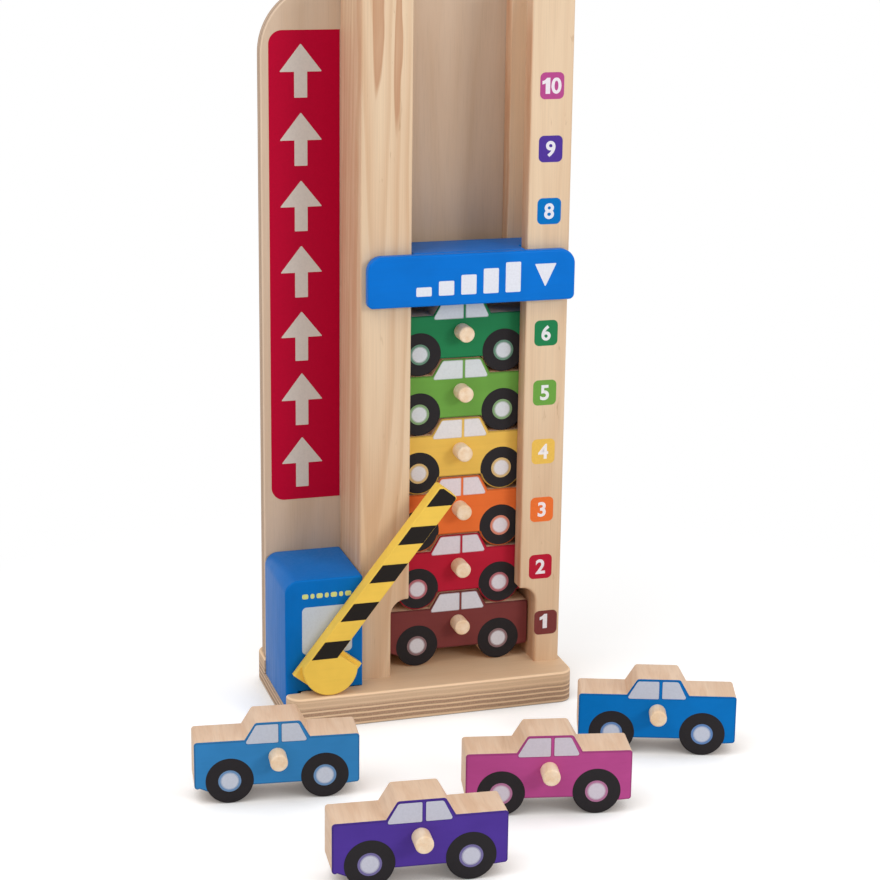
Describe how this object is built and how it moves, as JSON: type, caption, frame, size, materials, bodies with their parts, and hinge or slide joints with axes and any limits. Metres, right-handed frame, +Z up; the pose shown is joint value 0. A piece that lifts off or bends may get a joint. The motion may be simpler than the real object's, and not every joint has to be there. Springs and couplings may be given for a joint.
{
  "type": "wooden stacking toy garage",
  "caption": "Wooden toy tower: grooved posts hold stacked block cars under a sliding level board, with a ticket booth, a swinging barrier and loose cars.",
  "frame": {"origin": "centre of the base board's underside, on the floor", "axes": "+Z up, the shaft's open front faces -Y, the booth is at -X"},
  "size_m": [0.2959, 0.2815, 0.3996],
  "materials": {
    "birch_plywood": "fine sanded, bare, plies seen on the edges",
    "pine": "fine sanded, bare",
    "beech_dowel": "fine sanded, bare",
    "booth_blue_lacquer": "satin lacquer",
    "barrier_yellow_lacquer": "satin lacquer",
    "level_blue_lacquer": "satin lacquer",
    "zinc_plated_steel": "zinc plated",
    "maroon_lacquer": "satin paint on the face, bare sides",
    "red_lacquer": "satin paint on the face, bare sides",
    "orange_lacquer": "satin paint on the face, bare sides",
    "yellow_lacquer": "satin paint on the face, bare sides",
    "light_green_lacquer": "satin paint on the face, bare sides",
    "dark_green_lacquer": "satin paint on the face, bare sides",
    "light_blue_lacquer": "satin paint on the face, bare sides",
    "blue_lacquer": "satin paint on the face, bare sides",
    "purple_lacquer": "satin paint on the face, bare sides",
    "magenta_lacquer": "satin paint on the face, bare sides"
  },
  "bodies": {
    "garage": {"base_board": "birch_plywood", "back_panel": "birch_plywood", "left_post": "pine", "right_post": "pine", "ticket_booth": "booth_blue_lacquer", "left_post_front_screw": "zinc_plated_steel", "left_post_rear_screw": "zinc_plated_steel", "right_post_front_screw": "zinc_plated_steel", "right_post_rear_screw": "zinc_plated_steel", "booth_front_screw": "zinc_plated_steel", "booth_rear_screw": "zinc_plated_steel"},
    "barrier": {"barrier_arm": "barrier_yellow_lacquer", "barrier_backing": "barrier_yellow_lacquer", "barrier_pivot_dowel": "beech_dowel"},
    "level_slider": {"level_sign": "level_blue_lacquer", "level_block": "level_blue_lacquer", "level_dowel_left": "beech_dowel", "level_dowel_right": "beech_dowel"},
    "car_01": {"car_01_body": "maroon_lacquer", "car_01_peg": "beech_dowel"},
    "car_02": {"car_02_body": "red_lacquer", "car_02_peg": "beech_dowel"},
    "car_03": {"car_03_body": "orange_lacquer", "car_03_peg": "beech_dowel"},
    "car_04": {"car_04_body": "yellow_lacquer", "car_04_peg": "beech_dowel"},
    "car_05": {"car_05_body": "light_green_lacquer", "car_05_peg": "beech_dowel"},
    "car_06": {"car_06_body": "dark_green_lacquer", "car_06_peg": "beech_dowel"},
    "car_07": {"car_07_body": "light_blue_lacquer", "car_07_peg": "beech_dowel"},
    "car_08": {"car_08_body": "blue_lacquer", "car_08_peg": "beech_dowel"},
    "car_09": {"car_09_body": "purple_lacquer", "car_09_peg": "beech_dowel"},
    "car_10": {"car_10_body": "magenta_lacquer", "car_10_peg": "beech_dowel"}
  },
  "joints": [
    {"name": "barrier_hinge", "type": "hinge", "parent": "garage", "child": "barrier", "pos_m": [-0.05895, -0.0317, 0.0337], "axis": [0, -1, 0], "range_deg": [-52, 38]},
    {"name": "car_01_pull_out", "type": "slide", "parent": "garage", "child": "car_01", "axis": [0, -1, 0], "range_m": [0, 0.036]},
    {"name": "car_02_lift", "type": "slide", "parent": "garage", "child": "car_02", "axis": [0, 0, 1], "range_m": [0, 0.034]},
    {"name": "car_03_lift", "type": "slide", "parent": "car_02", "child": "car_03", "axis": [0, 0, 1], "range_m": [0, 0.0255]},
    {"name": "car_04_lift", "type": "slide", "parent": "car_03", "child": "car_04", "axis": [0, 0, 1], "range_m": [0, 0.0255]},
    {"name": "car_05_lift", "type": "slide", "parent": "car_04", "child": "car_05", "axis": [0, 0, 1], "range_m": [0, 0.0255]},
    {"name": "car_06_lift", "type": "slide", "parent": "car_05", "child": "car_06", "axis": [0, 0, 1], "range_m": [0, 0.0255]},
    {"name": "level_slide", "type": "slide", "parent": "car_06", "child": "level_slider", "axis": [0, 0, -1], "range_m": [-0.136, 0]},
    {"name": "car_07_pick_up", "type": "slide", "parent": "garage", "child": "car_07", "axis": [0, 0, 1], "range_m": [0, 0.05]},
    {"name": "car_08_pick_up", "type": "slide", "parent": "garage", "child": "car_08", "axis": [0, 0, 1], "range_m": [0, 0.05]},
    {"name": "car_09_pick_up", "type": "slide", "parent": "garage", "child": "car_09", "axis": [0, 0, 1], "range_m": [0, 0.05]},
    {"name": "car_10_pick_up", "type": "slide", "parent": "garage", "child": "car_10", "axis": [0, 0, 1], "range_m": [0, 0.05]}
  ]
}
